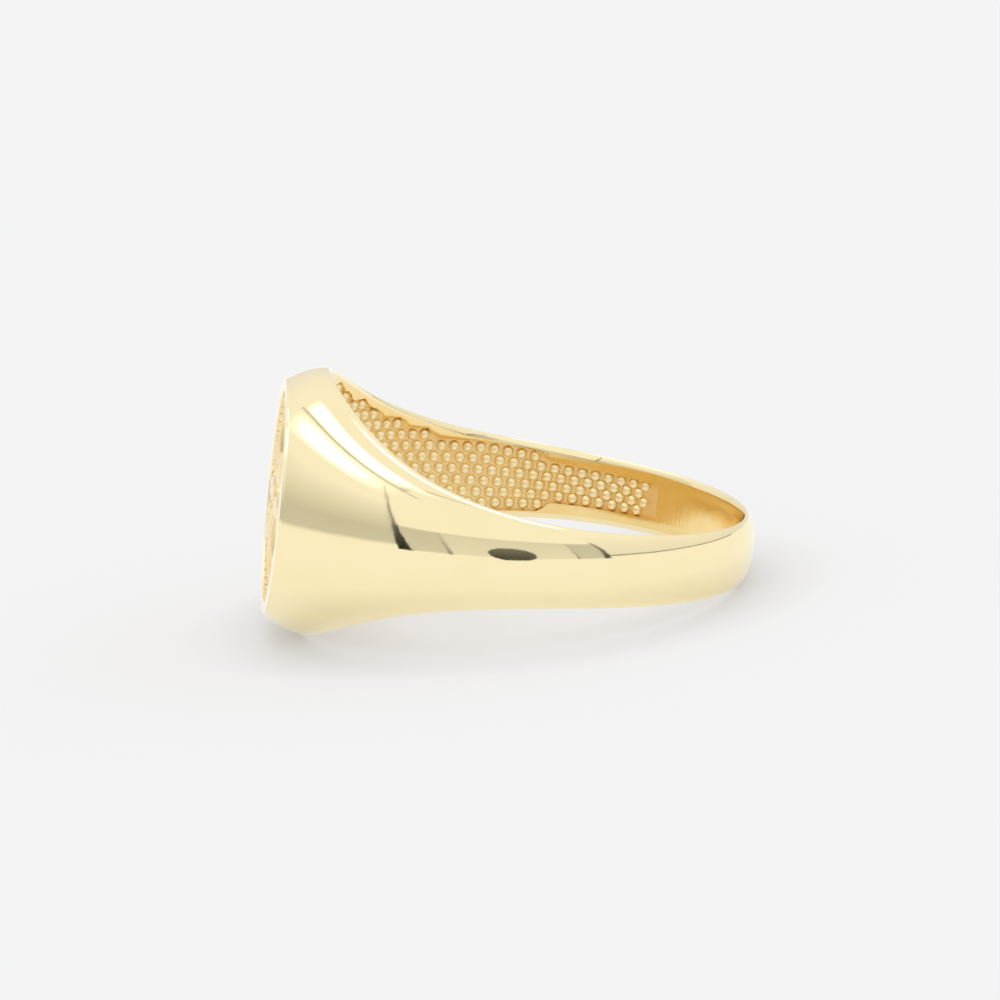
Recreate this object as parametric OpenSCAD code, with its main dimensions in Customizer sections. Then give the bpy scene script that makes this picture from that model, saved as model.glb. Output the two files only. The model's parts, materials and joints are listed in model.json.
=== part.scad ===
// A gold signet ring, lying on its side as it comes to rest on a table.
// The head points to -X, the back of the band to +X, and the origin is the centre of the bore.
// Angles run round the bore from the middle of the head, so 180 is the middle of the back.

/* [Band] */
// Bore diameter, which is the finger size
bore_d = 19; // [15:0.25:23]
// Width of the band at the back, along the finger
back_w = 2.9; // [2.2:0.1:4]
// Thickness of the band at the back
back_t = 0.65; // [0.5:0.05:1.2]
// Thickness of the thin edge on both sides of the band
edge_t = 0.2; // [0.1:0.02:0.4]
// Fullness of the crown of the band, lower is squarer
crown = 1.2; // [1:0.05:1.6]
// Angle of the solder joint between shoulder and shank, from the middle of the head
joint_angle = 140; // [136:1:160]

/* [Head] */
// Width of the head along the finger
head_w = 11.9; // [10:0.1:14]
// Thickness that the head would have if its dome were not cut flat
dome_t = 4.6; // [4:0.1:5.2]
// Height of the flat face above the bore
face_rise = 2; // [1.7:0.05:2.3]
// Length over which the width swells from the shank to the head
flare_len = 4; // [3:0.1:5]
// Length over which the thickness swells from the shank to the head
swell_len = 3.7; // [3:0.1:5]

/* [Face] */
// Width of the polished rim round the face
rim_w = 0.5; // [0.3:0.05:0.8]
// Depth of the seat below the rim
seat_depth = 0.5; // [0.4:0.05:0.7]
// Thickness of the plate in the seat
plate_t = 0.22; // [0.15:0.01:0.3]
// Gap between the plate and the wall of its seat
seat_gap = 0.02; // [0.01:0.01:0.05]
// Diameter of the grains along the border of the plate
border_grain_d = 0.5; // [0.3:0.02:0.52]
// Number of grains along the border of the plate
border_grains = 48; // [24:1:50]
// Diameter of the round wire inside the border
wire_d = 0.32; // [0.2:0.02:0.4]
// Number of petals of the rosette
petals = 8; // [5:1:12]
// Height of the petals above the plate
petal_h = 0.36; // [0.2:0.02:0.44]
// Diameter of the boss in the middle of the rosette
boss_d = 1.3; // [0.8:0.1:2]

/* [Grained inside] */
// Depth of the sunk field inside the head and shoulders
field_depth = 0.26; // [0.18:0.02:0.4]
// Angle at which the sunk field ends, from the middle of the head
field_angle = 133; // [110:1:134]
// Least width of the smooth lip between the field and the edge of the band
lip_w = 0.4; // [0.3:0.05:0.7]
// Diameter of a grain
grain_d = 0.46; // [0.3:0.02:0.5]
// Distance between grains along a row
grain_pitch = 0.63; // [0.55:0.01:0.9]
// Number of rows of grains at the head, on each side of the middle of the band
rows = 10; // [7:1:12]
// Distance between rows where the band is narrow, as a share of half its width
row_share = 0.257; // [0.247:0.001:0.264]
// Distance of the grains' tops below the bore
grain_sink = 0.03; // [0.02:0.01:0.08]

/* [Hidden] */
$fn = 64;

bore_r = bore_d / 2;
face_x = bore_r + face_rise;
floor_r = bore_r + field_depth;
// The loft and the cuts run this far past the surfaces that they end on
overrun = 0.6;
loft_step = 4;
crown_steps = 16;
gold = "#e3bf6a";
deep_gold = "#d9a54e";

// Size of the band at an angle from the head
function swell(angle, len) = exp(-bore_r * (1 - cos(angle)) / len);
function half_w(angle) = (back_w + (head_w - back_w) * swell(angle, flare_len)) / 2;
function crest_t(angle) = back_t + (dome_t - back_t) * swell(angle, swell_len);
function around(angle, radius) = [-radius * cos(angle), radius * sin(angle)];
function at(angle, radius, z) = concat(around(angle, radius), z);

// The ring rests on the inner edge of the head and the outer edge of the back
rest_tilt = atan((half_w(0) - half_w(180)) / (bore_d + edge_t));

// Cross-section of the band: a crown that falls to a thin edge on both sides
function band_radius(angle, turn) = bore_r + edge_t + (crest_t(angle) - edge_t) * pow(cos(turn), crown);
function band_section(angle) = concat(
    [for (i = [0 : crown_steps])
        let (turn = -90 + 180 * i / crown_steps)
        at(angle, band_radius(angle, turn), half_w(angle) * sin(turn))],
    [at(angle, bore_r - overrun, half_w(angle)), at(angle, bore_r - overrun, -half_w(angle))]
);

// Half sizes of the flat face, along the finger and across it
face_half_z = head_w / 2
    * sin(acos(pow((face_rise - edge_t) / (dome_t - edge_t), 1 / crown)));
function crest_x(angle) = (bore_r + crest_t(angle)) * cos(angle);
function face_corner(low = 0, high = 60, tries = 24) =
    let (middle = (low + high) / 2)
    tries == 0 ? middle
        : crest_x(middle) > face_x ? face_corner(middle, high, tries - 1)
        : face_corner(low, middle, tries - 1);
face_half_y = face_x * tan(face_corner());
seat_r = min(face_half_z, face_half_y) - rim_w;
plate_r = seat_r - seat_gap;
plate_x = face_x - seat_depth + plate_t;

// Grains: rows are counted from the middle of the band, and a row ends where the band gets too narrow
grain_r = grain_d / 2;
grain_step = 360 / floor(360 / (grain_pitch / bore_r * 180 / PI));
// The rows share the width of the head, with half a row to spare
row_pitch = (half_w(0) - lip_w) / (rows + 0.5);
function row_gap(angle) = min(row_pitch, row_share * half_w(angle));
function row_fits(row, angle) = row * row_gap(angle) <= half_w(angle) - lip_w;
// Rows on the upper side have levels 0, 1, 2 and on the lower side -1, -2, -3. Every second level is shifted
function row_level(side, row) = side == "u" ? row - 1 : -row;
function row_angles(side, row) =
    let (last = floor(field_angle / grain_step), shift = row_level(side, row) % 2 == 0 ? 0 : grain_step / 2)
    [for (i = [-last : last - 1]) if (row_fits(row, i * grain_step + shift)) i * grain_step + shift];
// The sunk field steps down half a grain's step after the last grain of a row, unless the row runs to its end
field_margin = 0.05;
function row_end(side, row) =
    row_fits(row, field_angle) ? 180 : max(row_angles(side, row)) + grain_step / 2;
upper_ends = [for (row = [1 : rows]) row_end("u", row)];
lower_ends = [for (row = [1 : rows]) row_end("d", row)];
function field_half(ends, angle) =
    let (inward = max(0, abs(angle) - grain_step / 2))
    len([for (end = ends) if (end > abs(angle)) end]) * row_gap(inward) + field_margin;
function field_section(angle) = [
    at(angle, floor_r / cos(grain_step / 4), -field_half(lower_ends, angle)),
    at(angle, floor_r / cos(grain_step / 4), field_half(upper_ends, angle)),
    at(angle, bore_r - overrun, field_half(upper_ends, angle)),
    at(angle, bore_r - overrun, -field_half(lower_ends, angle))
];

// A closed hoop of faces through sections all round, each with the same number of points
module hoop(sections) {
    count = len(sections[0]);
    total = len(sections);
    polyhedron(
        points = [for (section = sections, point = section) point],
        faces = [for (s = [0 : total - 1], i = [0 : count - 1])
            let (after = (s + 1) % total, next = (i + 1) % count)
            [s * count + i, after * count + i, after * count + next, s * count + next]],
        convexity = 8
    );
}

// Angles of even strips between two angles, at the middle of each strip
function spread(from, to, step) =
    let (count = round((to - from) / step))
    [for (i = [0 : count - 1]) from + (to - from) * (i + 0.5) / count];

module lay_down() {
    rotate([0, rest_tilt, 0]) children();
}

// The joints between the pieces of the band lie halfway between sections
band_angles = concat(
    spread(-180, -joint_angle, loft_step),
    spread(-joint_angle, joint_angle, loft_step),
    spread(joint_angle, 180, loft_step)
);

// The band all round, with its bore
module band() {
    difference() {
        hoop([for (angle = band_angles) band_section(angle)]);
        cylinder(r = bore_r, h = head_w + 2 * overrun, center = true, $fn = 180);
    }
}

// The slice of space between two angles, less than half a turn apart
module sector(from, to) {
    reach = 2 * (bore_r + dome_t);
    linear_extrude(head_w + 2 * overrun, center = true)
        polygon([[0, 0], around(from, reach), around((from + to) / 2, reach), around(to, reach)]);
}

// Turns +Z to point out of the face, with the origin on the face's axis at a distance from the bore
module on_face(distance) {
    translate([-distance, 0, 0]) rotate([0, -90, 0]) children();
}

module head_shell() {
    color(gold) lay_down() difference() {
        band();
        sector(joint_angle, 360 - joint_angle);
        on_face(face_x) translate([0, 0, dome_t])
            cube([head_w + 2 * overrun, bore_d, 2 * dome_t], center = true);
        on_face(face_x - seat_depth) cylinder(r = seat_r, h = seat_depth + overrun);
        difference() {
            hoop([for (angle = spread(-180, 180, grain_step / 2)) field_section(angle)]);
            sector(field_angle, 360 - field_angle);
        }
    }
}

module shank_left() {
    color(gold) lay_down() intersection() {
        band();
        sector(180, 360 - joint_angle);
    }
}

module shank_right() {
    color(gold) lay_down() intersection() {
        band();
        sector(joint_angle, 180);
    }
}

module face_plate() {
    color(deep_gold) lay_down() on_face(plate_x - plate_t) cylinder(r = plate_r, h = plate_t);
}

// The border grains touch the edge of the plate, and the wire lies just inside them
border_r = plate_r - border_grain_d / 2;
wire_r = border_r - border_grain_d / 2 - wire_d / 2;

// A round grain with a flat foot, standing on Z = 0
module grain(diameter, height) {
    intersection() {
        translate([0, 0, height - diameter / 2]) sphere(d = diameter, $fn = 24);
        translate([0, 0, diameter / 2]) cube([2 * diameter, 2 * diameter, diameter], center = true);
    }
}

module face_grains() {
    color(gold) lay_down() on_face(plate_x)
        for (i = [0 : border_grains - 1])
            rotate(i * 360 / border_grains) translate([border_r, 0, 0])
                grain(border_grain_d, border_grain_d / 2);
}

module face_wire() {
    color(gold) lay_down() on_face(plate_x) intersection() {
        rotate_extrude() translate([wire_r, 0]) circle(d = wire_d, $fn = 24);
        cylinder(r = plate_r, h = wire_d);
    }
}

// A petal runs from the boss to the wire: a pointed oval with a rounded top, low but not sharp at its points
petal_gap = 0.04;
petal_from = boss_d / 2 + petal_gap;
petal_to = wire_r - wire_d / 2 - petal_gap;
petal_len = petal_to - petal_from;
petal_share = 0.8;
petal_w = petal_share * min(2 * sin(180 / petals) * (petal_from + petal_len / 2), petal_len);
petal_arc_r = (petal_len * petal_len + petal_w * petal_w) / (4 * petal_w);
petal_tip_h = 0.08;
petal_dome_h = petal_h - petal_tip_h;
petal_dome_r = (petal_len * petal_len / 4 + petal_dome_h * petal_dome_h) / (2 * petal_dome_h);

module petal() {
    translate([petal_from + petal_len / 2, 0, 0]) intersection() {
        linear_extrude(petal_h) intersection() {
            translate([0, petal_arc_r - petal_w / 2]) circle(r = petal_arc_r);
            translate([0, petal_w / 2 - petal_arc_r]) circle(r = petal_arc_r);
        }
        translate([0, 0, petal_h - petal_dome_r]) sphere(r = petal_dome_r, $fn = 180);
    }
}

module face_petals() {
    color(gold) lay_down() on_face(plate_x)
        for (i = [0 : petals - 1]) rotate(i * 360 / petals) petal();
}

module face_boss() {
    color(gold) lay_down() on_face(plate_x) grain(boss_d, petal_h);
}

// One row of grains, as far as the end of the sunk field
module grain_row(side, row) {
    foot_r = floor_r * cos(asin(grain_r / floor_r));
    color(deep_gold) lay_down()
        for (angle = row_angles(side, row)) {
            end_gap = (field_angle - abs(angle)) / 180 * PI * bore_r;
            if (end_gap > grain_r + field_margin)
                rotate(180 - angle) translate([foot_r, 0, (row_level(side, row) + 0.5) * row_gap(angle)])
                    rotate([0, -90, 0]) grain(grain_d, foot_r - bore_r - grain_sink);
        }
}

head_shell();
shank_left();
shank_right();
face_plate();
face_wire();
face_grains();
face_petals();
face_boss();
for (side = ["u", "d"], row = [1 : rows])
    grain_row(side, row);
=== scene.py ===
# %% [markdown]
# # A gold signet ring on a white table
#
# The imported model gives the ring's real pieces and their places. Here each piece gets the smooth surface
# and the finish that a jeweller would give it, and then the ring is lit and looked at as on a product
# table.

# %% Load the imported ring
import json
import math
import random

import bmesh
import bpy
from mathutils import Matrix, Vector


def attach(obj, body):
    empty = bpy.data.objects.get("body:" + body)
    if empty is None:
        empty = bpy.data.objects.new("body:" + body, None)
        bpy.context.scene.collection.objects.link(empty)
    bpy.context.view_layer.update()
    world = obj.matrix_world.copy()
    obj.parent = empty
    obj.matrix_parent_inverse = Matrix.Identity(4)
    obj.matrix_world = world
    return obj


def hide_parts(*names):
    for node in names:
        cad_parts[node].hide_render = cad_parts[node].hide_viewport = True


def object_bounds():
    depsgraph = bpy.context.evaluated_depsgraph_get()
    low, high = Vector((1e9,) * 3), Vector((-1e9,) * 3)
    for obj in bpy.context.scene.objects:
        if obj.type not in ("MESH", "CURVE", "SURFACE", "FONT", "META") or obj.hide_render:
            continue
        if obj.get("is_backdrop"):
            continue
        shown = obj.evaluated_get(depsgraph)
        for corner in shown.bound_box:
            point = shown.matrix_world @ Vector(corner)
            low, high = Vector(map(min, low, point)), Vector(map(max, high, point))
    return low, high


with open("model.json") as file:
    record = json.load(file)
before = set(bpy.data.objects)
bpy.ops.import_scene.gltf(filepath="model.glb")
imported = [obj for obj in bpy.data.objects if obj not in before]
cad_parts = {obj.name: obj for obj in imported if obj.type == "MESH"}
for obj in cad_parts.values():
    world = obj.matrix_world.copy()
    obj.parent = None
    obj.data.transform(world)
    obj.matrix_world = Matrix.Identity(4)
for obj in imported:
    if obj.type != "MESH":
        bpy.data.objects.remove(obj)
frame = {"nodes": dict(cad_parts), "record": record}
cad_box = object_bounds()
rounded_box = [tuple(round(c, 5) for c in corner) for corner in cad_box]
print("loaded", len(frame["nodes"]), "nodes, box", rounded_box)

# %% [markdown]
# The ring lies on its side, so its bore leans. It is far easier to model a ring that stands upright round
# the Z axis and to lay it down at the end, so every piece below is made upright and turned once, by the
# lean that the record's finger bore gives.
#
# A ring is small beside Blender's default tolerances, so three of its own are named here: FINE for cuts,
# SAME for points that should coincide, and CLOSE for points that were moved to one place.

# %% The ring's own sizes
MM = 0.001
FINE = 0.00001 * MM
SAME = 0.001 * MM
CLOSE = 0.002 * MM
finger_bore = frame["record"]["mounts"][0]
BORE_R = finger_bore["dims"]["r_mm"] * MM
HEAD_W = finger_bore["dims"]["length_mm"] * MM
lean = math.atan2(finger_bore["axis"][0], finger_bore["axis"][2])
LAY_DOWN = Matrix.Rotation(lean, 4, "Y")
STAND_UP = LAY_DOWN.inverted()

BACK_W = 2.9 * MM
BACK_T = 0.65 * MM
EDGE_T = 0.2 * MM
CROWN = 1.2
DOME_T = 4.6 * MM
FLARE_LEN = 4.0 * MM
SWELL_LEN = 3.7 * MM
JOINT_ANGLE = math.radians(140)


def upright_box(node):
    """Lowest and highest corner of a CAD node once the ring stands upright."""
    points = [STAND_UP @ vertex.co for vertex in frame["nodes"][node].data.vertices]
    low = Vector([min(point[i] for point in points) for i in range(3)])
    high = Vector([max(point[i] for point in points) for i in range(3)])
    return low, high


def swell(angle, length):
    """Falls from 1 at the middle of the head to almost 0 at the back."""
    return math.exp(-BORE_R * (1 - math.cos(angle)) / length)


def half_width(angle):
    return (BACK_W + (HEAD_W - BACK_W) * swell(angle, FLARE_LEN)) / 2


def crest(angle):
    return BACK_T + (DOME_T - BACK_T) * swell(angle, SWELL_LEN)


print("bore", BORE_R, "head", HEAD_W, "lean", round(math.degrees(lean), 2))

# %% [markdown]
# Blender's operators act on whatever is selected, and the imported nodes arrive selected. A few small helpers
# keep every step clean: they start from an empty selection, open a piece for editing with nothing picked,
# and pick points, edges or faces by where they are, as a modeller would with a box.

# %% Helpers for working by hand
def start_clean():
    if bpy.context.object and bpy.context.object.mode != "OBJECT":
        bpy.ops.object.mode_set(mode="OBJECT")
    bpy.ops.object.select_all(action="DESELECT")


def take(piece):
    start_clean()
    bpy.context.view_layer.objects.active = piece
    piece.select_set(True)


def open_piece(piece, mode="VERT"):
    take(piece)
    bpy.ops.object.mode_set(mode="EDIT")
    bpy.ops.mesh.select_mode(type=mode)
    bpy.ops.mesh.select_all(action="DESELECT")
    return bmesh.from_edit_mesh(piece.data)


def pick(shape, piece, items, wanted):
    for item in items:
        item.select_set(wanted(item))
    shape.select_flush_mode()
    bmesh.update_edit_mesh(piece.data)


def close_piece():
    bpy.ops.object.mode_set(mode="OBJECT")


def named(name):
    piece = bpy.context.object
    piece.name = name
    piece.data.name = name
    return piece


def settle():
    """Puts the active piece's place into its mesh."""
    bpy.ops.object.transform_apply(location=True, rotation=True, scale=True)


def merge_all(distance):
    bpy.ops.mesh.select_all(action="SELECT")
    bpy.ops.mesh.remove_doubles(threshold=distance)


def face_outwards():
    bpy.ops.mesh.select_all(action="SELECT")
    bpy.ops.mesh.normals_make_consistent(inside=False)


def put_in_order(piece):
    """Numbers the faces by their points: a spin numbers them anew in each run, and merges follow that."""
    points = [vertex.co.copy() for vertex in piece.data.vertices]
    faces = []
    for face in piece.data.polygons:
        first = min(range(face.loop_total), key=lambda i: face.vertices[i])
        faces.append((*face.vertices[first:], *face.vertices[:first]))
    piece.data.clear_geometry()
    piece.data.from_pydata(points, [], sorted(faces))


# %% [markdown]
# ## The band
#
# The band's cross-section is a low crown that falls to a thin edge on both sides, with the bore behind it.
# A circle is a good start for it: its outer half becomes the crown, and of its inner half only the corners
# are kept. The circle is spun once round the bore, and then each point is moved out to where the band's
# real width and thickness put it, which swell smoothly from the slim back to the broad head. A boolean of
# solids would also work, but a spun surface keeps even rows of faces, and mirror-polished gold shows every
# uneven face.

# %% Spin a round section into a plain hoop
CIRCLE_POINTS = 128
SPIN_STEPS = 360
TURN_SLACK = 0.01
INNER_CORNERS = [math.radians(a) for a in (101.25, 112.5, 135, 157.5, 202.5, 225, 247.5, 258.75)]


def section_turn(point):
    """Angle of a point round the unshaped section: 0 on the crown's crest, 180 in the bore."""
    return math.atan2(point.z, math.hypot(point.x, point.y) - BORE_R) % math.tau


def is_inner(turn):
    return math.pi / 2 + TURN_SLACK < turn < math.pi * 3 / 2 - TURN_SLACK


def is_spare(vertex):
    turn = section_turn(vertex.co)
    return is_inner(turn) and not any(abs(turn - corner) < TURN_SLACK for corner in INNER_CORNERS)


start_clean()
bpy.ops.mesh.primitive_circle_add(
    vertices=CIRCLE_POINTS, radius=MM, location=(-BORE_R, 0, 0), rotation=(math.pi / 2, 0, 0)
)
band = named("band")
settle()
shape = open_piece(band)
pick(shape, band, shape.verts, is_spare)
bpy.ops.mesh.dissolve_verts()
bpy.ops.mesh.select_all(action="SELECT")
half_step = math.pi / SPIN_STEPS
bpy.ops.transform.rotate(value=half_step, orient_axis="Z", center_override=(0, 0, 0))
bpy.ops.mesh.spin(steps=SPIN_STEPS, angle=math.tau, center=(0, 0, 0), axis=(0, 0, 1))
merge_all(SAME)
close_piece()
put_in_order(band)
print("hoop", len(band.data.vertices), "points,", len(band.data.polygons), "faces")

# %% [markdown]
# The inside of the head and shoulders is sunk a quarter of a millimetre, and the grains sit in that field.
# The field gets lower where a row of grains ends, so its edge steps down towards the back, and it stops
# short of the plain back. These are the same rules that place the grains, so the walls fit round them.

# %% Where the sunk field lies
FLOOR_R = BORE_R + 0.26 * MM
FIELD_ANGLE = math.radians(133)
LIP_W = 0.4 * MM
ROWS = 10
ROW_SHARE = 0.257
FIELD_MARGIN = 0.05 * MM
GRAIN_PITCH = 0.63 * MM
STEP_WEAR = (-0.4, -0.2, 0, 0.2, 0.4)
grain_step = math.tau / math.floor(math.tau * BORE_R / GRAIN_PITCH)
row_pitch = (half_width(0) - LIP_W) / (ROWS + 0.5)


def row_gap(angle):
    return min(row_pitch, ROW_SHARE * half_width(angle))


def row_end(row, shift):
    """Angle at which a row's part of the field ends: half a step after its last grain, or not at all."""
    if row * row_gap(FIELD_ANGLE) <= half_width(FIELD_ANGLE) - LIP_W:
        return math.pi
    spots = [(i + shift) * grain_step for i in range(math.floor(FIELD_ANGLE / grain_step))]
    return max(a for a in spots if row * row_gap(a) <= half_width(a) - LIP_W) + grain_step / 2


upper_ends = [row_end(row, 0.5 * ((row - 1) % 2)) for row in range(1, ROWS + 1)]
lower_ends = [row_end(row, 0.5 * (row % 2)) for row in range(1, ROWS + 1)]


def field_half(ends, angle):
    """Distance from the middle of the band to the field's edge, with a step wherever a row ends."""
    inward = max(0, abs(angle) - grain_step / 2)
    return sum(end > abs(angle) for end in ends) * row_gap(inward) + FIELD_MARGIN


def field_edge(ends, angle):
    """The field's edge with its steps worn to slopes."""
    return sum(field_half(ends, angle + share * grain_step) for share in STEP_WEAR) / len(STEP_WEAR)


def floor_radius(angle):
    return FLOOR_R if abs(angle) < FIELD_ANGLE else BORE_R


print("rows above the middle end at", [round(math.degrees(end)) for end in upper_ends], "degrees")

# %% [markdown]
# The inner edge of the band is eased, so that the ring slides over a knuckle: a low slope leads from the
# thin edge to the bore. It faces up on the far side of the ring, and there it shows as a pale line over the
# grains.

# %% Shape the hoop
EASE_W = 0.26 * MM
EASE_T = 0.12 * MM


def head_angle(point):
    """Angle round the bore from the middle of the head."""
    return math.atan2(point.y, -point.x)


def place_round(angle, radius, z):
    return Vector((-radius * math.cos(angle), radius * math.sin(angle), z))


def shaped(point):
    """Where a point of the plain hoop goes on the band."""
    angle, turn = head_angle(point), section_turn(point)
    width = half_width(angle)
    if not is_inner(turn):
        rise = (crest(angle) - EDGE_T) * max(0.0, math.cos(turn)) ** CROWN
        return place_round(angle, BORE_R + EDGE_T + rise, width * math.sin(turn))
    corner = min(range(len(INNER_CORNERS)), key=lambda i: abs(turn - INNER_CORNERS[i]))
    upper, lower = field_edge(upper_ends, angle), field_edge(lower_ends, angle)
    floor = floor_radius(angle)
    z = (width, width - EASE_W, upper, upper, -lower, -lower, EASE_W - width, -width)[corner]
    radius = (BORE_R + EASE_T, BORE_R, BORE_R, floor, floor, BORE_R, BORE_R, BORE_R + EASE_T)[corner]
    return place_round(angle, radius, z)


for vertex in band.data.vertices:
    vertex.co = shaped(vertex.co)
open_piece(band)
merge_all(CLOSE)
face_outwards()
close_piece()
print("band", [round(c / MM, 2) for c in band.dimensions])

# %% [markdown]
# ## The flat face and its seat
#
# The head's dome is cut off flat, and a round seat for the face plate is sunk in the cut. By hand this is a
# bisect and then a row of extrusions of the cut outline: a few small ones that round the edge of the rim,
# one across the flat rim to the mouth of the seat, a few that round the mouth, and one down the wall. Every
# ring of points keeps its place round the face, so the rim stays made of even four-sided faces. A bisect
# just behind the cut leaves an even strip next to the rim, so the polish runs up to it without ripples.

# %% Cut the face and sink the seat
SEAT_CLEARANCE = 0.02 * MM
RIM_SOFT = 0.09 * MM
RIM_GUARD = 0.05 * MM
RIM_MERGE = 0.03 * MM
MOUTH_SOFT = 0.05 * MM
ROUND_STEPS = 4
plate_low, plate_high = upright_box("face_plate")
FACE_X = upright_box("head_shell")[0].x
SEAT_R = plate_high.y + SEAT_CLEARANCE
SEAT_FLOOR_X = plate_high.x
cut_x = FACE_X + RIM_SOFT

open_piece(band)
bpy.ops.mesh.select_all(action="SELECT")
bpy.ops.mesh.bisect(plane_co=(cut_x + RIM_GUARD, 0, 0), plane_no=(-1, 0, 0), threshold=FINE)
bpy.ops.mesh.select_all(action="SELECT")
bpy.ops.mesh.bisect(plane_co=(cut_x, 0, 0), plane_no=(-1, 0, 0), clear_outer=True, threshold=FINE)
shape = bmesh.from_edit_mesh(band.data)
pick(shape, band, shape.verts, lambda v: v.co.x < cut_x + 2 * RIM_GUARD)
bpy.ops.mesh.remove_doubles(threshold=RIM_MERGE)
bpy.ops.mesh.select_mode(type="EDGE")
shape = bmesh.from_edit_mesh(band.data)
pick(shape, band, shape.edges, lambda e: e.is_boundary)


def next_ring(x, radius_rule):
    """Extrudes the selected outline to x, and to the distance from the face's middle that the rule gives."""
    bpy.ops.mesh.extrude_edges_move()
    shape = bmesh.from_edit_mesh(band.data)
    for vertex in shape.verts:
        if vertex.select:
            before = math.hypot(vertex.co.y, vertex.co.z)
            after = radius_rule(before)
            vertex.co = (x, vertex.co.y * after / before, vertex.co.z * after / before)
    bmesh.update_edit_mesh(band.data)


turns = [math.pi / 2 * i / ROUND_STEPS for i in range(ROUND_STEPS + 1)]
for last, turn in zip(turns, turns[1:]):
    inset = RIM_SOFT * (math.cos(last) - math.cos(turn))
    next_ring(FACE_X + RIM_SOFT * (1 - math.sin(turn)), lambda before: before - inset)
for turn in turns:
    mouth_r = SEAT_R + MOUTH_SOFT * (1 - math.sin(turn))
    next_ring(FACE_X + MOUTH_SOFT * (1 - math.cos(turn)), lambda before: mouth_r)
next_ring(SEAT_FLOOR_X, lambda before: SEAT_R)
bpy.ops.mesh.edge_face_add()
face_outwards()
close_piece()
print("face at", round(FACE_X / MM, 3), "with a seat of radius", round(SEAT_R / MM, 3))

# %% [markdown]
# Nothing on a worn ring is knife-sharp. The crown runs into the band's narrow side without an edge, so only
# the edge between that side and the eased slope is softened, with a narrow bevel that catches the light as
# a line.

# %% Soften the edges of the band
EDGE_SOFT = 0.04 * MM


def on_side(vertex):
    return abs(abs(vertex.co.z) - half_width(head_angle(vertex.co))) < CLOSE


def at_ease(vertex):
    return abs(math.hypot(vertex.co.x, vertex.co.y) - BORE_R - EASE_T) < CLOSE


shape = open_piece(band, "EDGE")
pick(shape, band, shape.edges, lambda e: all(on_side(v) and at_ease(v) for v in e.verts))
bpy.ops.mesh.bevel(offset=EDGE_SOFT, segments=3, affect="EDGES")
close_piece()
print("softened band", len(band.data.polygons), "faces")

# %% [markdown]
# Three finishes meet on this one surface: mirror polish outside, a brushed bore with its lips, and the
# rough floor of the sunk field. Each face is told which it has now, while its place still says so.

# %% Tell outside, bore and field apart
OUTSIDE, BORE, FIELD = 0, 1, 2
NEAR = 0.02 * MM


def finish_of(face):
    radius = math.hypot(face.center.x, face.center.y)
    angle = head_angle(face.center)
    if radius > FLOOR_R + NEAR or abs(face.center.z) > half_width(angle) - NEAR / 2:
        return OUTSIDE
    if radius > BORE_R + NEAR:
        ends = upper_ends if face.center.z > 0 else lower_ends
        return FIELD if abs(face.center.z) < field_half(ends, angle) + NEAR else OUTSIDE
    return BORE


for face in band.data.polygons:
    face.material_index = finish_of(face)
counts = [sum(face.material_index == i for face in band.data.polygons) for i in (OUTSIDE, BORE, FIELD)]
print("faces outside, in the bore and in the field:", counts)

# %% [markdown]
# The real band is three castings: the head with its shoulders, and two arms that are soldered to it and to
# each other. The cuts run through the middle of a row of faces, so both sides of each joint keep the same
# slope and the polished joint doesn't show.

# %% Cut the band at its solder joints
def cut_at(angle):
    """Cuts the faces on one side of the bore by a plane through its axis."""
    shape = open_piece(band, "FACE")
    near = place_round(angle, 1.0, 0.0)
    pick(shape, band, shape.faces, lambda f: f.calc_center_median().dot(near) > 0.5 * BORE_R)
    across = (-near.y, near.x, 0)
    bpy.ops.mesh.bisect(plane_co=(0, 0, 0), plane_no=across, threshold=FINE)
    close_piece()


def split_off(name, wanted):
    shape = open_piece(band, "FACE")
    pick(shape, band, shape.faces, lambda f: wanted(head_angle(f.calc_center_median())))
    bpy.ops.mesh.separate(type="SELECTED")
    close_piece()
    piece = next(o for o in bpy.context.selected_objects if o != band)
    piece.name = name
    piece.data.name = name
    return piece


def cap_ends(piece):
    shape = open_piece(piece, "EDGE")
    pick(shape, piece, shape.edges, lambda e: e.is_boundary)
    bpy.ops.mesh.fill_holes(sides=0)
    face_outwards()
    close_piece()


for angle in (JOINT_ANGLE, -JOINT_ANGLE, math.pi):
    cut_at(angle)
left_arm = split_off("left_arm", lambda a: a < -JOINT_ANGLE)
right_arm = split_off("right_arm", lambda a: a > JOINT_ANGLE)
head = band
head.name = "head"
for piece in (head, left_arm, right_arm):
    cap_ends(piece)
    print(piece.name, len(piece.data.polygons), "faces")

# %% [markdown]
# ## The grains
#
# Hundreds of small grains line the field. One is modelled, as the half of a ball with a slightly spread
# foot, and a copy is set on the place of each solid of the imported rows. The copies differ a little in size,
# because cast grains do. A few dozen faces are enough for something half a millimetre wide.

# %% Model one grain
GRAIN_R = 0.23 * MM
FOOT_SPREAD = 1.2


def cut_below(height):
    """Cuts away what lies below a height of the open piece, and closes the cut."""
    bpy.ops.mesh.select_all(action="SELECT")
    bpy.ops.mesh.bisect(
        plane_co=(0, 0, height), plane_no=(0, 0, -1), clear_outer=True, use_fill=True, threshold=FINE
    )


def half_ball(name, radius, height, segments, rings):
    """A dome of the given radius and height, standing on Z = 0, with a closed foot."""
    start_clean()
    bpy.ops.mesh.primitive_uv_sphere_add(segments=segments, ring_count=rings, radius=radius)
    piece = named(name)
    open_piece(piece)
    cut_below(0)
    bpy.ops.mesh.select_all(action="SELECT")
    bpy.ops.transform.resize(value=(1, 1, height / radius), center_override=(0, 0, 0))
    face_outwards()
    close_piece()
    bpy.ops.object.shade_smooth_by_angle(angle=math.radians(50))
    return piece


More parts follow.
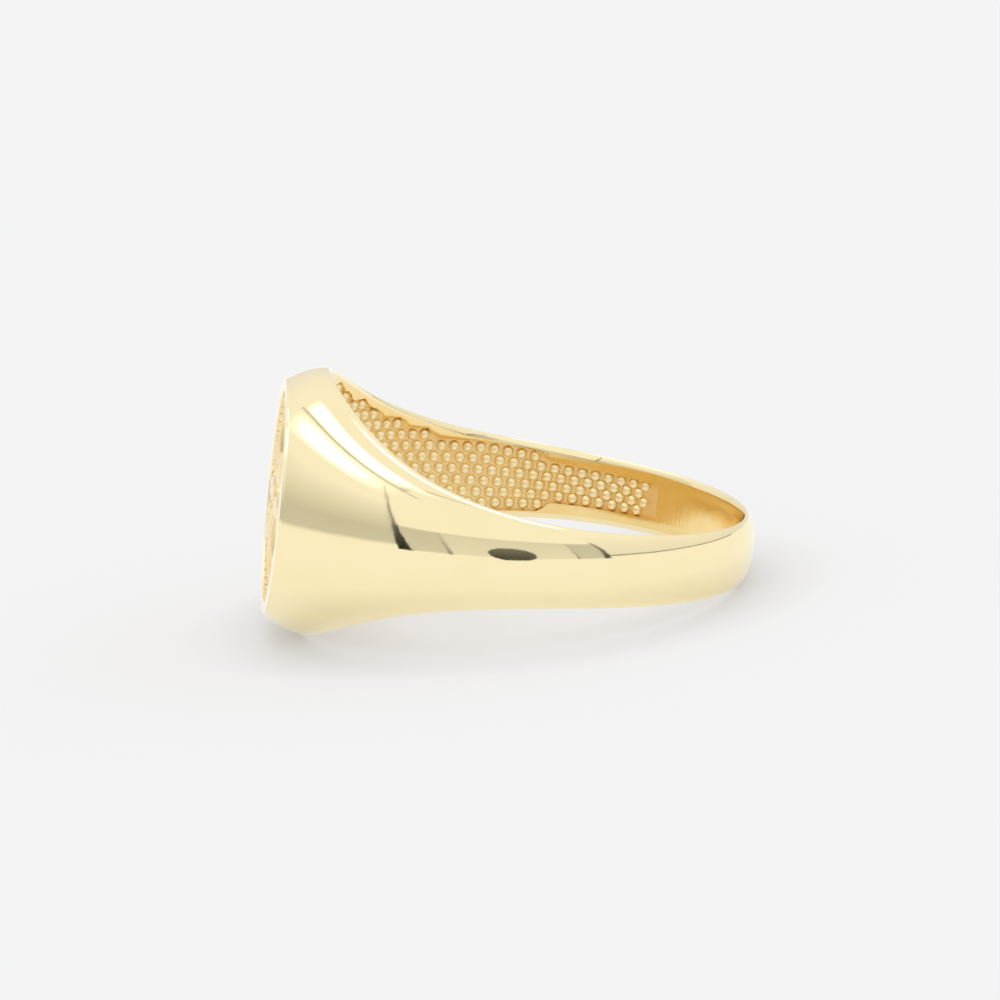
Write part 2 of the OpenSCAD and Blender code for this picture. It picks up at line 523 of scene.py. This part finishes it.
grain_model = half_ball("grain_model", GRAIN_R * FOOT_SPREAD, GRAIN_R, segments=12, rings=8)
print("one grain has", len(grain_model.data.polygons), "faces")

# %% [markdown]
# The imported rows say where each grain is. A row is one mesh, so its solids are told apart by following
# edges from point to point, and the middle of each solid is the place of one grain. The middles are sorted,
# so that each run gives the same size to the same grain.

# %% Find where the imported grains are
def solid_middles(node):
    """Middle of each separate solid of a CAD node, with the ring upright, sorted by place."""
    solids = bmesh.new()
    solids.from_mesh(frame["nodes"][node].data)
    bmesh.ops.remove_doubles(solids, verts=solids.verts, dist=SAME)
    unseen = set(solids.verts)
    middles = []
    while unseen:
        group = [unseen.pop()]
        for vertex in group:
            for edge in vertex.link_edges:
                other = edge.other_vert(vertex)
                if other in unseen:
                    unseen.remove(other)
                    group.append(other)
        middle = Vector([math.fsum(v.co[i] for v in group) / len(group) for i in range(3)])
        middles.append(STAND_UP @ middle)
    solids.free()
    return sorted(middles, key=lambda m: (round(m.y / MM, 3), round(m.z / MM, 3)))


grain_nodes = sorted(node for node in frame["nodes"] if node.startswith("grain_row"))
grain_middles = {node: solid_middles(node) for node in grain_nodes}
print("found", sum(len(middles) for middles in grain_middles.values()), "grains in", len(grain_nodes), "rows")

# %% [markdown]
# Each copy stands on the floor of the field and points at the middle of the bore. The foot is flat and the
# floor is curved, so it is set at the depth where the edge of a plain grain's foot meets the floor. The
# sizes are drawn with a fixed seed, so that each run draws the same ones.

# %% Set the rows of grains
SIZE_SPREAD = 0.05
GRAIN_FOOT_R = math.sqrt(FLOOR_R**2 - GRAIN_R**2)
chance = random.Random(7)


def copies(name, model, places):
    """One piece made of a copy of the model at each place."""
    joined = bmesh.new()
    for place in places:
        known = len(joined.verts)
        joined.from_mesh(model.data)
        joined.verts.ensure_lookup_table()
        bmesh.ops.transform(joined, matrix=place, verts=joined.verts[known:])
    mesh = bpy.data.meshes.new(name)
    joined.to_mesh(mesh)
    joined.free()
    piece = bpy.data.objects.new(name, mesh)
    bpy.context.scene.collection.objects.link(piece)
    return piece


def grain_place(middle):
    """Stands a grain on the floor of the field, pointing at the middle of the bore."""
    angle = math.atan2(middle.y, middle.x)
    foot = Matrix.Translation((GRAIN_FOOT_R * math.cos(angle), GRAIN_FOOT_R * math.sin(angle), middle.z))
    inward = Matrix.Rotation(angle, 4, "Z") @ Matrix.Rotation(-math.pi / 2, 4, "Y")
    return foot @ inward @ Matrix.Scale(1 - SIZE_SPREAD * chance.random(), 4)


grain_rows = {}
for node, middles in grain_middles.items():
    places = [grain_place(middle) for middle in middles]
    grain_rows[node] = copies(node.replace("grain_row", "grains"), grain_model, places)
print("grains have", sum(len(piece.data.polygons) for piece in grain_rows.values()), "faces")

# %% [markdown]
# ## The face
#
# The face is a round plate with a raised ornament: a border of grains, a twisted wire, and a rosette of
# petals round a boss. It is modelled flat, with +Z out of the face, and one matrix stands it up in its
# seat. Petals, boss and grains are soldered to the plate on the real ring, so each stands on the plate's
# top.

# %% Sizes of the face
PLATE_R = plate_high.y
PLATE_T = plate_high.x - plate_low.x
ON_FACE = Matrix.Translation((plate_low.x, 0, 0)) @ Matrix.Rotation(-math.pi / 2, 4, "Y")
petal_low, petal_high = upright_box("face_petals")
wire_low, wire_high = upright_box("face_wire")
PETAL_TIP_R = petal_high.y
PETAL_H = petal_high.x - petal_low.x
PETALS = 8
BOSS_R = upright_box("face_boss")[1].y
WIRE_OUT_R = wire_high.y
WIRE_T = (wire_high.x - wire_low.x) * 2
for what, radius in (("plate", PLATE_R), ("wire", WIRE_OUT_R), ("petal tips", PETAL_TIP_R), ("boss", BOSS_R)):
    print(what, "at radius", round(radius / MM, 2))

# %% [markdown]
# The plate starts as a cylinder. Its top gets a narrow raised margin for the grains and a faintly dished
# field for the rosette, by two insets and a small push.

# %% The plate
DISH = 0.03 * MM
PLATE_POINTS = 128
start_clean()
bpy.ops.mesh.primitive_cylinder_add(
    vertices=PLATE_POINTS, radius=PLATE_R, depth=PLATE_T, location=(0, 0, -PLATE_T / 2)
)
plate = named("plate")
settle()
shape = open_piece(plate, "FACE")
pick(shape, plate, shape.faces, lambda f: f.normal.z > 0.9)
bpy.ops.mesh.inset(thickness=PLATE_R - WIRE_OUT_R)
bpy.ops.mesh.inset(thickness=WIRE_T)
bpy.ops.transform.translate(value=(0, 0, -DISH))
bpy.ops.mesh.inset(thickness=WIRE_T)
close_piece()
bpy.ops.object.shade_smooth_by_angle(angle=math.radians(30))
print("plate", len(plate.data.polygons), "faces")

# %% [markdown]
# The wire is a ring of two strands twisted together. A circle spun round the plate gives the ring, in steps
# so fine that a wave can run round it and over it, which gives the twist. Its lower half lies in the plate
# and is cut away.

# %% The twisted wire
WIRE_POINTS = 16
TWISTS = 72
TWIST_POINTS = 8
TWIST_DEPTH = 0.3
wire_r = WIRE_OUT_R - WIRE_T / 2
start_clean()
bpy.ops.mesh.primitive_circle_add(
    vertices=WIRE_POINTS, radius=WIRE_T / 2, location=(wire_r, 0, 0), rotation=(math.pi / 2, 0, 0)
)
wire = named("wire")
settle()
open_piece(wire)
bpy.ops.mesh.select_all(action="SELECT")
bpy.ops.mesh.spin(steps=TWISTS * TWIST_POINTS, angle=math.tau, center=(0, 0, 0), axis=(0, 0, 1))
merge_all(SAME)
close_piece()
for vertex in wire.data.vertices:
    around = math.atan2(vertex.co.y, vertex.co.x)
    middle = Vector((math.cos(around), math.sin(around), 0)) * wire_r
    out = vertex.co - middle
    over = math.atan2(out.z, math.hypot(vertex.co.x, vertex.co.y) - middle.length)
    vertex.co = middle + out * (1 - TWIST_DEPTH * (0.5 + 0.5 * math.cos(TWISTS * around + 2 * over)))
open_piece(wire)
cut_below(-DISH)
face_outwards()
close_piece()
bpy.ops.object.shade_smooth_by_angle(angle=math.radians(60))
print("wire", len(wire.data.polygons), "faces")

# %% [markdown]
# A petal is a pointed oval with a rounded back and a vein pressed along its middle. A grid of faces is
# moved onto that form, its outline is pinched to a point at both ends, and the open underside is filled.

# %% One petal, and the rosette
PETAL_FROM = 0.69 * MM
PETAL_LEN = PETAL_TIP_R - PETAL_FROM
PETAL_W = 1.39 * MM
PETAL_TOP = PETAL_H - 0.01 * MM
VEIN_W = 0.07 * MM
VEIN_DEPTH = 0.05 * MM
WIDEST_SHIFT = 0.85
OUTLINE_FULLNESS = 0.9
BACK_FULLNESS = 0.6


def petal_point(along, across):
    """A point of the petal: along runs 0 to 1 from boss to tip, across -1 to 1 from edge to edge."""
    half = PETAL_W / 2 * math.sin(math.pi * along**WIDEST_SHIFT) ** OUTLINE_FULLNESS
    crown = math.sqrt(max(0.0, 1 - across**2)) * math.sin(math.pi * along) ** BACK_FULLNESS
    vein = VEIN_DEPTH * math.exp(-((across * half / VEIN_W) ** 2)) * math.sin(math.pi * along)
    height = max(0.0, PETAL_TOP * crown - vein)
    return Vector((PETAL_FROM + PETAL_LEN * along, half * across, height - DISH * (1 - crown)))


start_clean()
bpy.ops.mesh.primitive_grid_add(x_subdivisions=20, y_subdivisions=16, size=2)
petal_model = named("petal_model")
for vertex in petal_model.data.vertices:
    along = min(1.0, max(0.0, (vertex.co.x + 1) / 2))
    vertex.co = petal_point(along, vertex.co.y)
open_piece(petal_model, "EDGE")
merge_all(CLOSE)
bpy.ops.mesh.select_all(action="DESELECT")
bpy.ops.mesh.select_non_manifold()
bpy.ops.mesh.edge_face_add()
face_outwards()
close_piece()
bpy.ops.object.shade_smooth_by_angle(angle=math.radians(60))
petal_turns = [Matrix.Rotation(math.tau * i / PETALS, 4, "Z") for i in range(PETALS)]
petals = copies("petals", petal_model, petal_turns)
print("rosette", len(petals.data.polygons), "faces")

# %% [markdown]
# The boss in the middle is a low dome with a small pit, made from the same half ball as the grains and
# pressed in at its top. The border grains are the same again, with more faces because they are seen up
# close, in a ring.

# %% The boss and the border grains
PIT_R = 0.35 * BOSS_R
PIT_DEPTH = 0.08 * MM
boss = half_ball("boss", BOSS_R, PETAL_H + DISH, segments=32, rings=16)
for vertex in boss.data.vertices:
    pit = PIT_DEPTH * math.exp(-((math.hypot(vertex.co.x, vertex.co.y) / PIT_R) ** 2))
    vertex.co.z -= min(vertex.co.z, pit) + DISH

BORDER_R = 0.25 * MM
border_model = half_ball("border_model", BORDER_R, BORDER_R, segments=20, rings=12)
border_places = []
for middle in solid_middles("face_grains"):
    spot = ON_FACE.inverted() @ middle
    spot.z = 0
    border_places.append(Matrix.Translation(spot) @ Matrix.Scale(1 - SIZE_SPREAD * chance.random() / 2, 4))
border = copies("border_grains", border_model, border_places)
for piece in (plate, wire, petals, boss, border):
    piece.data.transform(ON_FACE)
print("border of", len(border_places), "grains")

# %% [markdown]
# ## Gold
#
# Everything here is one alloy in different finishes, so one function makes each gold from a colour, a
# roughness and a fine relief. The patterns read Object coordinates, which are metres on the ring itself, so
# they stay put from every side. Polished gold still has a breath of unevenness: without it a rendered ring
# looks like plastic.

# %% A function for gold
TINT_SIZE = 2.5 * MM
POLISH_SIZE = 1.2 * MM
NOISE_RANGE = (0.3, 0.7)


def gold(name, colour, deep, rough, grain_size, relief, stretch=1):
    """Metal between two colours and two roughnesses, with a relief that stretch draws out along the bore."""
    material = bpy.data.materials.new(name)
    material.use_nodes = True
    nodes, links = material.node_tree.nodes, material.node_tree.links
    shader = nodes["Principled BSDF"]
    shader.inputs["Metallic"].default_value = 1
    where = nodes.new("ShaderNodeTexCoord")
    drawn = nodes.new("ShaderNodeMapping")
    drawn.vector_type = "TEXTURE"
    drawn.inputs["Rotation"].default_value = (0, lean, 0)
    drawn.inputs["Scale"].default_value = (1, 1, stretch)
    links.new(where.outputs["Object"], drawn.inputs["Vector"])

    def noise(size, detail):
        texture = nodes.new("ShaderNodeTexNoise")
        texture.inputs["Scale"].default_value = 1 / size
        texture.inputs["Detail"].default_value = detail
        links.new(drawn.outputs["Vector"], texture.inputs["Vector"])
        return texture.outputs["Fac"]

    tint = nodes.new("ShaderNodeValToRGB")
    for stop, position, shade in zip(tint.color_ramp.elements, NOISE_RANGE, (deep, colour)):
        stop.position = position
        stop.color = (*shade, 1)
    links.new(noise(TINT_SIZE, 2), tint.inputs["Fac"])
    links.new(tint.outputs["Color"], shader.inputs["Base Color"])

    polish = nodes.new("ShaderNodeMapRange")
    polish.inputs["From Min"].default_value, polish.inputs["From Max"].default_value = NOISE_RANGE
    polish.inputs["To Min"].default_value, polish.inputs["To Max"].default_value = rough
    links.new(noise(POLISH_SIZE, 4), polish.inputs["Value"])
    links.new(polish.outputs["Result"], shader.inputs["Roughness"])

    bump = nodes.new("ShaderNodeBump")
    bump.inputs["Strength"].default_value = 1
    bump.inputs["Distance"].default_value = relief
    links.new(noise(grain_size, 3), bump.inputs["Height"])
    links.new(bump.outputs["Normal"], shader.inputs["Normal"])
    return material


# %% [markdown]
# The outside is mirror-bright and pale. The bore was brushed along the finger, so its relief is drawn out in
# that direction. The floor of the field is rough and a little deeper in colour, partly its own as-cast colour
# and partly painted shade between the rows of grains; the grains on it are bright but soft. The face plate
# has a satin ground, and the relief on it is rubbed brighter.

# %% The golds of this ring
polished_gold = gold(
    "polished_gold", colour=(0.985, 0.86, 0.53), deep=(0.97, 0.84, 0.51),
    rough=(0.04, 0.08), grain_size=0.9 * MM, relief=0.003 * MM,
)
bore_gold = gold(
    "bore_gold", colour=(0.96, 0.75, 0.36), deep=(0.92, 0.68, 0.28),
    rough=(0.1, 0.18), grain_size=0.1 * MM, relief=0.008 * MM, stretch=14,
)
# The field's deeper colour is partly its as-cast colour and partly painted shade between the rows of grains.
cast_and_painted_shade_field_gold = gold(
    "cast_and_painted_shade_field_gold", colour=(0.97, 0.75, 0.38), deep=(0.93, 0.67, 0.3),
    rough=(0.35, 0.5), grain_size=0.12 * MM, relief=0.012 * MM,
)
grain_gold = gold(
    "grain_gold", colour=(0.985, 0.86, 0.55), deep=(0.97, 0.8, 0.46),
    rough=(0.3, 0.42), grain_size=0.2 * MM, relief=0.008 * MM,
)
satin_gold = gold(
    "satin_gold", colour=(0.93, 0.72, 0.36), deep=(0.88, 0.62, 0.28),
    rough=(0.38, 0.5), grain_size=0.08 * MM, relief=0.02 * MM,
)
relief_gold = gold(
    "relief_gold", colour=(0.96, 0.78, 0.42), deep=(0.93, 0.7, 0.34),
    rough=(0.12, 0.22), grain_size=0.3 * MM, relief=0.008 * MM,
)
print("golds:", [m.name for m in bpy.data.materials if m.name.endswith("gold")])

# %% [markdown]
# ## Lay the ring down
#
# Each piece is turned by the ring's lean, gets its gold, rides on the ring's one body and stands for the
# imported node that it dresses. The band's pieces have three golds, so the faces are told their finish again
# after the golds are in place.

# %% Dress the ring
def dress(piece, golds, node):
    piece.data.transform(LAY_DOWN)
    piece.data.materials.clear()
    for material in golds:
        piece.data.materials.append(material)
    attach(piece, "root")
    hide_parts(node)


for piece, node in ((head, "head_shell"), (left_arm, "shank_left"), (right_arm, "shank_right")):
    finishes = [face.material_index for face in piece.data.polygons]
    dress(piece, (polished_gold, bore_gold, cast_and_painted_shade_field_gold), node)
    piece.data.polygons.foreach_set("material_index", finishes)
    take(piece)
    bpy.ops.object.shade_smooth_by_angle(angle=math.radians(40))
    weighted = piece.modifiers.new("weighted", "WEIGHTED_NORMAL")
    weighted.keep_sharp = True
    bpy.ops.object.modifier_apply(modifier=weighted.name)
for node, piece in grain_rows.items():
    dress(piece, (grain_gold,), node)
dress(plate, (satin_gold,), "face_plate")
dress(wire, (relief_gold,), "face_wire")
dress(border, (relief_gold,), "face_grains")
dress(petals, (relief_gold,), "face_petals")
dress(boss, (relief_gold,), "face_boss")
for model in (grain_model, border_model, petal_model):
    bpy.data.objects.remove(model)

# %% [markdown]
# ## The table and the light
#
# The ring is photographed on white paper inside a small tent of white cloth. The paper glows a little, as
# paper lit through from below would, so the shadow under the ring stays faint. An ambient-occlusion node
# turns that glow down near the ring, which paints a darker contact shadow where the ring touches it. Glossy
# rays see a little extra glow, a painted reflection, so in the gold the paper shows a little brighter than
# to the eye.

# %% The paper
PAPER_COLOUR = (0.42, 0.42, 0.425, 1)
PAINTED_SHADE_REACH = 4 * MM
PAPER_GLOW_WITH_PAINTED_SHADE = (0.27, 0.49)
PAINTED_REFLECTION_GLOW = 0.085

start_clean()
bpy.ops.mesh.primitive_plane_add(size=3, location=(0, 0, cad_box[0].z))
paper = named("paper")
paper_white = bpy.data.materials.new("paper_white")
paper_white.use_nodes = True
nodes, links = paper_white.node_tree.nodes, paper_white.node_tree.links
paper_shader = nodes["Principled BSDF"]
paper_shader.inputs["Base Color"].default_value = PAPER_COLOUR
paper_shader.inputs["Roughness"].default_value = 1
paper_shader.inputs["Specular IOR Level"].default_value = 0
paper_shader.inputs["Emission Color"].default_value = (1, 1, 1, 1)
# Ambient occlusion turns the paper's glow down near the ring: a painted contact shadow on the paper.
contact_shade_ao = nodes.new("ShaderNodeAmbientOcclusion")
contact_shade_ao.inputs["Distance"].default_value = PAINTED_SHADE_REACH
glow_with_painted_shade = nodes.new("ShaderNodeMapRange")
glow_with_painted_shade.inputs["To Min"].default_value, glow_with_painted_shade.inputs["To Max"].default_value = PAPER_GLOW_WITH_PAINTED_SHADE
# Glossy rays get extra glow on top: a painted brightening of the paper's reflection in the gold.
ray = nodes.new("ShaderNodeLightPath")
painted_reflection_glow = nodes.new("ShaderNodeMath")
painted_reflection_glow.operation = "MULTIPLY_ADD"
painted_reflection_glow.inputs[1].default_value = PAINTED_REFLECTION_GLOW
links.new(contact_shade_ao.outputs["AO"], glow_with_painted_shade.inputs["Value"])
links.new(ray.outputs["Is Glossy Ray"], painted_reflection_glow.inputs[0])
links.new(glow_with_painted_shade.outputs["Result"], painted_reflection_glow.inputs[2])
links.new(painted_reflection_glow.outputs[0], paper_shader.inputs["Emission Strength"])
paper.data.materials.append(paper_white)
paper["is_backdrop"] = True
print("paper at height", round(cad_box[0].z / MM, 2))

# %% [markdown]
# White cloth all round gives an even light that comes from everywhere, so the world is one plain white. The
# Standard view transform keeps that white as bright as it is in the picture.

# %% The cloth of the tent
CLOTH_GLOW = 0.98
scene = bpy.context.scene
world = bpy.data.worlds.new("tent")
world.use_nodes = True
world.node_tree.nodes["Background"].inputs["Color"].default_value = (1, 1, 1, 1)
world.node_tree.nodes["Background"].inputs["Strength"].default_value = CLOTH_GLOW
scene.world = world
scene.view_settings.view_transform = "Standard"
print("cloth glows", CLOTH_GLOW)

# %% [markdown]
# A polished ring is a picture of the room. What the gold shows here is a tent with lamp strips in its roof,
# a left wall that gets dimmer towards the table, a curtain in front with dark gaps at its two sides, and
# the lens that looks in through the curtain. Each is a card that only reflections see. A card is a piece of
# a sphere round the ring, given by the angles at which the ring sees it, and its glow runs from one value
# at its lower edge to another at its upper edge.

# %% Cards for the reflections
TENT_R = 300 * MM


def glow(name, low, high):
    """Light that runs from low at V = 0 to high at V = 1 of the card's UV map."""
    material = bpy.data.materials.new(name)
    material.use_nodes = True
    nodes, links = material.node_tree.nodes, material.node_tree.links
    nodes.remove(nodes["Principled BSDF"])
    where = nodes.new("ShaderNodeTexCoord")
    height = nodes.new("ShaderNodeSeparateXYZ")
    level = nodes.new("ShaderNodeMapRange")
    level.inputs["To Min"].default_value = low
    level.inputs["To Max"].default_value = high
    light = nodes.new("ShaderNodeEmission")
    links.new(where.outputs["UV"], height.inputs["Vector"])
    links.new(height.outputs["Y"], level.inputs["Value"])
    links.new(level.outputs["Result"], light.inputs["Strength"])
    links.new(light.outputs["Emission"], nodes["Material Output"].inputs["Surface"])
    return material


def only_reflected(piece, low, high):
    piece.data.materials.clear()
    piece.data.materials.append(glow(piece.name, low, high))
    piece.visible_camera = False
    piece.visible_diffuse = False
    piece.visible_shadow = False
    piece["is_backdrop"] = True


def card(name, azimuths, elevations, low, high, top_azimuths=None, away=TENT_R):
    """Azimuth is counted from the camera's side, to the right, and elevation from the table."""
    start_clean()
    bpy.ops.mesh.primitive_grid_add(x_subdivisions=24, y_subdivisions=12, size=1)
    piece = named(name)
    for vertex in piece.data.vertices:
        over, up = vertex.co.x + 0.5, vertex.co.y + 0.5
        left, right = [a + (b - a) * up for a, b in zip(azimuths, top_azimuths or azimuths)]
        azimuth = math.radians(left + (right - left) * over)
        elevation = math.radians(elevations[0] + (elevations[1] - elevations[0]) * up)
        level = math.cos(elevation)
        direction = Vector((math.sin(azimuth) * level, -math.cos(azimuth) * level, math.sin(elevation)))
        vertex.co = direction * away
    only_reflected(piece, low, high)


LEFT_WALL = (-105, -36)
RIGHT_WALL = (41, 125)
BACK_WALL = (125, 255)
CURTAIN = (-36, 41)
CURTAIN_TOP = 22
LEFT_FOLD, RIGHT_FOLD = -20.4, 27
card("left_wall_foot", LEFT_WALL, (2.5, 5.5), 0.95, 0.63)
card("left_wall_low", LEFT_WALL, (5.5, 17), 0.63, 0.61)
card("left_wall_high", LEFT_WALL, (17, 46), 0.61, CLOTH_GLOW)
card("right_wall", RIGHT_WALL, (4, 40), 0.86, 0.96)
card("right_gap", RIGHT_WALL, (2.4, 4), 0.3, 0.3)
card("back_wall", BACK_WALL, (3, 45), 0.8, CLOTH_GLOW)
card("curtain_left", (CURTAIN[0], LEFT_FOLD), (0, CURTAIN_TOP), 0.68, 0.62)
card("curtain_middle", (LEFT_FOLD, RIGHT_FOLD), (0, CURTAIN_TOP), 0.82, 0.74)
card("curtain_right", (RIGHT_FOLD, CURTAIN[1]), (0, CURTAIN_TOP), 0.64, 0.6)
card("curtain_hem", CURTAIN, (CURTAIN_TOP, 23.5), 0.6, CLOTH_GLOW)

# %% [markdown]
# The gaps beside the curtain and the folds in it could be holes in the cloth. It is simpler to hang dark
# cards a little nearer to the ring, where they cover the cloth behind them. Each narrows upwards and gets
# lighter, as a slit between two hanging cloths does.

# %% Gaps and folds, nearer than the cloth
GAP_AWAY = 0.97 * TENT_R
GAP_FOOT = -0.5
card("fold_left", (-21.2, -19.8), (GAP_FOOT, CURTAIN_TOP), 0.1, 0.45, (-20.6, -20.3), GAP_AWAY)
card("fold_right", (26.7, 27.4), (GAP_FOOT, CURTAIN_TOP), 0.2, 0.45, (26.9, 27.1), GAP_AWAY)
card("gap_left", (-37.6, -32.8), (GAP_FOOT, 27), 0.02, 0.12, (-36.2, -34.8), GAP_AWAY)
card("gap_left_above", (-36.2, -34.8), (27, 66), 0.12, 0.6, (-35.9, -35.1), GAP_AWAY)
card("gap_right", (38.8, 42), (GAP_FOOT, 26), 0.03, 0.3, (40, 41), GAP_AWAY)

# %% [markdown]
# Lamp strips run from front to back under the roof, a little askew, with thin dark bars beside them. The
# lamps are bright enough to burn out to white even on gold, and the cloth in front of them softens their
# edges. The lens is a dark disc that stands nearer than the curtain.

# %% Lamps and lens
LAMP_SKEW = math.radians(13.5)
FRONT_BAR_SKEW = math.radians(-46)
LAMP_GLOW = 2.4
BAR_GLOW = 0.6


def roof_strip(name, across, along, light, skew=LAMP_SKEW):
    """A flat strip under the roof: its place and size across and along it, as shares of the roof's height."""
    start_clean()
    bpy.ops.mesh.primitive_plane_add(size=1, rotation=(0, 0, skew))
    piece = named(name)
    piece.scale = ((across[1] - across[0]) * TENT_R, (along[1] - along[0]) * TENT_R, 1)
    middle = Vector((sum(across) / 2, sum(along) / 2, 0)) * TENT_R
    middle.rotate(piece.rotation_euler)
    piece.location = middle + Vector((0, 0, TENT_R))
    settle()
    only_reflected(piece, light, light)
    return piece


def soften(piece, share):
    """Lets a lamp fall off to the glow of the cloth over the outer share of its width and length."""
    tree = piece.data.materials[0].node_tree
    nodes, links = tree.nodes, tree.links
    apart, level = nodes["Separate XYZ"], nodes["Map Range"]
    sides = []
    for axis in "XY":
        inward = nodes.new("ShaderNodeMath")
        inward.operation = "PINGPONG"
        inward.inputs[1].default_value = 0.5
        links.new(apart.outputs[axis], inward.inputs[0])
        rise = nodes.new("ShaderNodeMapRange")
        rise.interpolation_type = "SMOOTHSTEP"
        rise.inputs["From Max"].default_value = share
        links.new(inward.outputs[0], rise.inputs["Value"])
        sides.append(rise.outputs["Result"])
    both = nodes.new("ShaderNodeMath")
    both.operation = "MULTIPLY"
    links.new(sides[0], both.inputs[0])
    links.new(sides[1], both.inputs[1])
    level.inputs["To Min"].default_value = CLOTH_GLOW
    links.new(both.outputs[0], level.inputs["Value"])


soften(roof_strip("lamp_right", (-0.24, 0.04), (-0.3, 0.7), LAMP_GLOW), 0.2)
soften(roof_strip("lamp_left", (-0.66, -0.26), (-0.5, 0.8), LAMP_GLOW), 0.42)
soften(roof_strip("lamp_side", (0.38, 0.56), (-0.2, 0.55), LAMP_GLOW), 0.2)
roof_strip("lamp_bar", (-0.275, -0.24), (-0.45, 0.75), BAR_GLOW)
roof_strip("lamp_bar_front", (0.153, 0.177), (-0.44, 0.22), BAR_GLOW, FRONT_BAR_SKEW)

LENS_AWAY = 100 * MM
LENS_HALF = (0.152 * LENS_AWAY, 0.128 * LENS_AWAY)
LENS_MIDDLE = (0.015 * LENS_AWAY, -LENS_AWAY, 0.078 * LENS_AWAY)
start_clean()
bpy.ops.mesh.primitive_circle_add(vertices=48, radius=1, fill_type="NGON", rotation=(math.pi / 2, 0, 0))
lens_disc = named("lens_disc")
lens_disc.scale = (*LENS_HALF, 1)
lens_disc.location = LENS_MIDDLE
settle()
only_reflected(lens_disc, 0.05, 0.2)

# %% [markdown]
# ## The camera
#
# The camera stands some 50 mm above the table and 250 mm away, and is tipped a little to one side, so the
# ring lies slightly askew in the picture. It looks at the ring through a long lens, so near and far sides
# of the ring have almost the same scale.

# %% The camera
CAMERA_AWAY = 248 * MM
CAMERA_AZIMUTH = math.radians(-3.13)
CAMERA_ELEVATION = math.radians(12.36)
CAMERA_ROLL = math.radians(-6.71)
PIXELS_PER_MM = 22.29
BORE_PIXEL = Vector((528.5, 520.6))
IMAGE_SIZE = 1000

back = Vector((
    math.sin(CAMERA_AZIMUTH) * math.cos(CAMERA_ELEVATION),
    -math.cos(CAMERA_AZIMUTH) * math.cos(CAMERA_ELEVATION),
    math.sin(CAMERA_ELEVATION),
))
right = Vector((math.cos(CAMERA_AZIMUTH), math.sin(CAMERA_AZIMUTH), 0))
up = back.cross(right)
across = right * math.cos(CAMERA_ROLL) + up * math.sin(CAMERA_ROLL)
upward = up * math.cos(CAMERA_ROLL) - right * math.sin(CAMERA_ROLL)
off_centre = (BORE_PIXEL - Vector((IMAGE_SIZE / 2, IMAGE_SIZE / 2))) / PIXELS_PER_MM * MM
aim = upward * off_centre.y - across * off_centre.x
spot = back * CAMERA_AWAY
look = (spot - aim).normalized()
across = (across - look * across.dot(look)).normalized()
upward = look.cross(across)

lens = bpy.data.cameras.new("camera")
lens.sensor_width = 36
lens.lens = lens.sensor_width * PIXELS_PER_MM * CAMERA_AWAY / MM / IMAGE_SIZE
lens.clip_start = 10 * MM
camera = bpy.data.objects.new("camera", lens)
camera.matrix_world = Matrix((across, upward, look)).transposed().to_4x4()
camera.location = spot
scene.collection.objects.link(camera)
scene.camera = camera
print("lens", round(lens.lens, 1), "mm")

# %% [markdown]
# Last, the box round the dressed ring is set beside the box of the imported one. The smooth surfaces should
# lie within a few hundredths of a millimetre of the solids that they stand for.

# %% Compare the boxes and finish
visual_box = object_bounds()
for cad_corner, visual_corner in zip(cad_box, visual_box):
    print("boxes differ by", [round((v - c) / MM, 3) for c, v in zip(cad_corner, visual_corner)], "mm")
